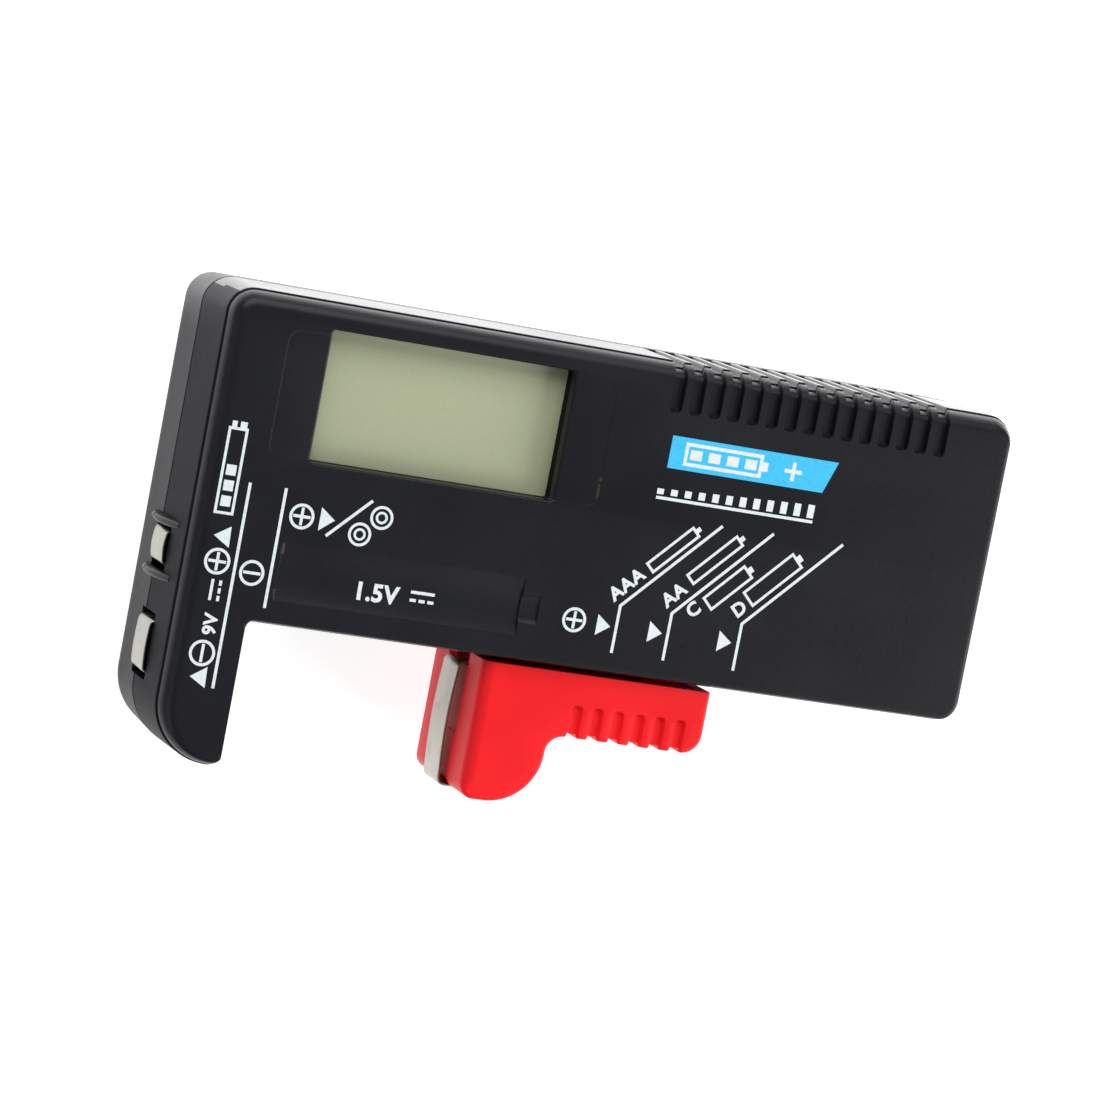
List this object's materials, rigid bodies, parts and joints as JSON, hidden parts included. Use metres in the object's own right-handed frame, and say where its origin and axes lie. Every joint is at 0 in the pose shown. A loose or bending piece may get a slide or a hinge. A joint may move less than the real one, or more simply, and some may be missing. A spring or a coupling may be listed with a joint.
{
  "type": "battery tester",
  "caption": "Pocket battery tester with a recessed display, a fixed arm, a sliding cell contact under the casing and nine volt contacts on the arm.",
  "frame": {"origin": "centre of the bounding box's lower face, on the surface that the tester lies on", "axes": "+X along the length away from the fixed arm, +Y across the casing towards the display's long edge, +Z out of the printed face"},
  "size_m": [0.1074, 0.0588, 0.024],
  "materials": {
    "casing_black": "satin moulded",
    "slider_red": "satin moulded",
    "nickel_strip": "nickel plated, rolled",
    "display_film": "clear film over a grey-green display",
    "display_glass": "polished",
    "reflector": "matt reflective film",
    "holder_plastic": "moulded",
    "connector_rubber": "matt",
    "board": "solder mask",
    "component_black": "moulded epoxy and ferrite",
    "copper": "enamelled copper wire",
    "capacitor_sleeve": "printed sleeve",
    "resistor_body": "lacquer",
    "wire_black": "soft insulation",
    "wire_red": "soft insulation",
    "screw_steel": "zinc plated",
    "white_ink": "pad print",
    "blue_ink": "pad print"
  },
  "bodies": {
    "casing": {"board_screw_1": "screw_steel", "board_screw_2": "screw_steel", "boost_coil": "component_black", "capacitor": "capacitor_sleeve", "case_screw_1": "screw_steel", "case_screw_2": "screw_steel", "case_screw_3": "screw_steel", "cell_lead_black": "wire_black", "cell_lead_red": "wire_red", "chip_cover": "component_black", "chip_resistor_1": "component_black", "chip_resistor_2": "component_black", "chip_resistor_3": "component_black", "chip_resistor_4": "component_black", "chip_resistor_5": "component_black", "chip_resistor_6": "component_black", "circuit_board": "board", "coil_winding": "copper", "contact_rail": "nickel_strip", "display_film": "display_film", "display_front_glass": "display_glass", "display_holder": "holder_plastic", "display_rear_glass": "display_glass", "display_reflector": "reflector", "fixed_contact": "nickel_strip", "front_casing": "casing_black", "load_resistor_1": "resistor_body", "load_resistor_2": "resistor_body", "nine_volt_contact_lower": "nickel_strip", "nine_volt_contact_upper": "nickel_strip", "nine_volt_lead_black": "wire_black", "nine_volt_lead_red": "wire_red", "rear_casing": "casing_black", "rubber_connector": "connector_rubber", "transistor": "component_black"},
    "slider": {"slider": "slider_red", "slider_contact": "nickel_strip"}
  },
  "joints": [
    {"name": "slider_travel", "type": "slide", "parent": "casing", "child": "slider", "axis": [1, 0, 0], "range_m": [-0.0278, 0.0332]}
  ]
}
